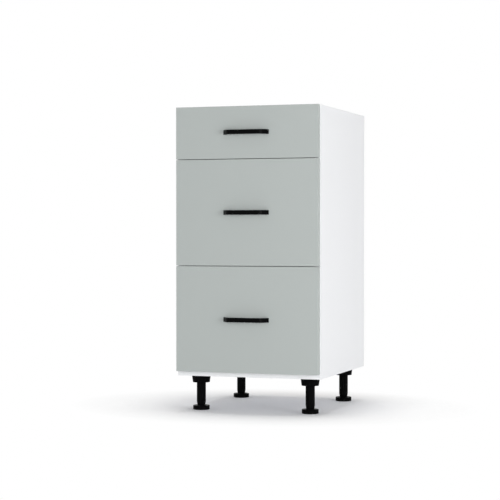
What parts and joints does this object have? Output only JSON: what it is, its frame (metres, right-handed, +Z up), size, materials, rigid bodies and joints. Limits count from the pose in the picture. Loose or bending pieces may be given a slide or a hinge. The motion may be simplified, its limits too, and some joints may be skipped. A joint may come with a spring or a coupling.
{
  "type": "drawer base cabinet",
  "caption": "Narrow kitchen base cabinet: white carcass, grey-green overlay drawer fronts with black bow handles, ball-bearing runners and adjustable plastic legs.",
  "frame": {"origin": "On the floor, under the middle of the whole outline, handles included.", "axes": "+Z up; -Y is the front, where the drawers pull out; +X is to the right for someone facing the front."},
  "size_m": [0.4, 0.49, 0.816],
  "materials": {
    "front_foil": "fibreboard with a smooth matt grey-green foil, edges wrapped",
    "carcass_melamine": "chipboard with cool white melamine faces and white edge band",
    "box_melamine": "chipboard with white melamine faces and white edge band",
    "hardboard": "thin high-density fibreboard, one face painted white",
    "handle_black": "satin black powder coat",
    "zinc_steel": "bright zinc-plated rolled steel",
    "leg_plastic": "moulded black plastic, lightly satin"
  },
  "bodies": {
    "carcass": {"left_side_panel": "carcass_melamine", "right_side_panel": "carcass_melamine", "bottom_panel": "carcass_melamine", "front_top_rail": "carcass_melamine", "rear_top_rail": "carcass_melamine", "back_panel": "hardboard", "bottom_left_cabinet_rail": "zinc_steel", "bottom_right_cabinet_rail": "zinc_steel", "middle_left_cabinet_rail": "zinc_steel", "middle_right_cabinet_rail": "zinc_steel", "top_left_cabinet_rail": "zinc_steel", "top_right_cabinet_rail": "zinc_steel", "front_left_leg_socket": "leg_plastic", "front_left_leg_tube": "leg_plastic", "front_right_leg_socket": "leg_plastic", "front_right_leg_tube": "leg_plastic", "rear_left_leg_socket": "leg_plastic", "rear_left_leg_tube": "leg_plastic", "rear_right_leg_socket": "leg_plastic", "rear_right_leg_tube": "leg_plastic"},
    "bottom_drawer": {"bottom_drawer_front": "front_foil", "bottom_drawer_handle": "handle_black", "bottom_drawer_left_side": "box_melamine", "bottom_drawer_right_side": "box_melamine", "bottom_drawer_inner_front": "box_melamine", "bottom_drawer_back": "box_melamine", "bottom_drawer_bottom": "hardboard", "bottom_left_drawer_rail": "zinc_steel", "bottom_right_drawer_rail": "zinc_steel"},
    "middle_drawer": {"middle_drawer_front": "front_foil", "middle_drawer_handle": "handle_black", "middle_drawer_left_side": "box_melamine", "middle_drawer_right_side": "box_melamine", "middle_drawer_inner_front": "box_melamine", "middle_drawer_back": "box_melamine", "middle_drawer_bottom": "hardboard", "middle_left_drawer_rail": "zinc_steel", "middle_right_drawer_rail": "zinc_steel"},
    "top_drawer": {"top_drawer_front": "front_foil", "top_drawer_handle": "handle_black", "top_drawer_left_side": "box_melamine", "top_drawer_right_side": "box_melamine", "top_drawer_inner_front": "box_melamine", "top_drawer_back": "box_melamine", "top_drawer_bottom": "hardboard", "top_left_drawer_rail": "zinc_steel", "top_right_drawer_rail": "zinc_steel"},
    "bottom_middle_rails": {"bottom_left_middle_rail": "zinc_steel", "bottom_right_middle_rail": "zinc_steel"},
    "middle_middle_rails": {"middle_left_middle_rail": "zinc_steel", "middle_right_middle_rail": "zinc_steel"},
    "top_middle_rails": {"top_left_middle_rail": "zinc_steel", "top_right_middle_rail": "zinc_steel"},
    "front_left_foot": {"front_left_leg_foot": "leg_plastic"},
    "front_right_foot": {"front_right_leg_foot": "leg_plastic"},
    "rear_left_foot": {"rear_left_leg_foot": "leg_plastic"},
    "rear_right_foot": {"rear_right_leg_foot": "leg_plastic"}
  },
  "joints": [
    {"name": "bottom_drawer_slide", "type": "slide", "parent": "carcass", "child": "bottom_drawer", "axis": [0, -1, 0], "range_m": [0, 0.4]},
    {"name": "middle_drawer_slide", "type": "slide", "parent": "carcass", "child": "middle_drawer", "axis": [0, -1, 0], "range_m": [0, 0.4]},
    {"name": "top_drawer_slide", "type": "slide", "parent": "carcass", "child": "top_drawer", "axis": [0, -1, 0], "range_m": [0, 0.4]},
    {"name": "bottom_middle_rail_slide", "type": "slide", "parent": "carcass", "child": "bottom_middle_rails", "axis": [0, -1, 0], "range_m": [0, 0.2]},
    {"name": "middle_middle_rail_slide", "type": "slide", "parent": "carcass", "child": "middle_middle_rails", "axis": [0, -1, 0], "range_m": [0, 0.2]},
    {"name": "top_middle_rail_slide", "type": "slide", "parent": "carcass", "child": "top_middle_rails", "axis": [0, -1, 0], "range_m": [0, 0.2]},
    {"name": "front_left_foot_screw", "type": "slide", "parent": "carcass", "child": "front_left_foot", "axis": [0, 0, -1], "range_m": [0, 0.025]},
    {"name": "front_right_foot_screw", "type": "slide", "parent": "carcass", "child": "front_right_foot", "axis": [0, 0, -1], "range_m": [0, 0.025]},
    {"name": "rear_left_foot_screw", "type": "slide", "parent": "carcass", "child": "rear_left_foot", "axis": [0, 0, -1], "range_m": [0, 0.025]},
    {"name": "rear_right_foot_screw", "type": "slide", "parent": "carcass", "child": "rear_right_foot", "axis": [0, 0, -1], "range_m": [0, 0.025]}
  ],
  "couplings": [
    {"joint": "bottom_middle_rail_slide", "follows": "bottom_drawer_slide", "ratio": 0.5},
    {"joint": "middle_middle_rail_slide", "follows": "middle_drawer_slide", "ratio": 0.5},
    {"joint": "top_middle_rail_slide", "follows": "top_drawer_slide", "ratio": 0.5}
  ]
}
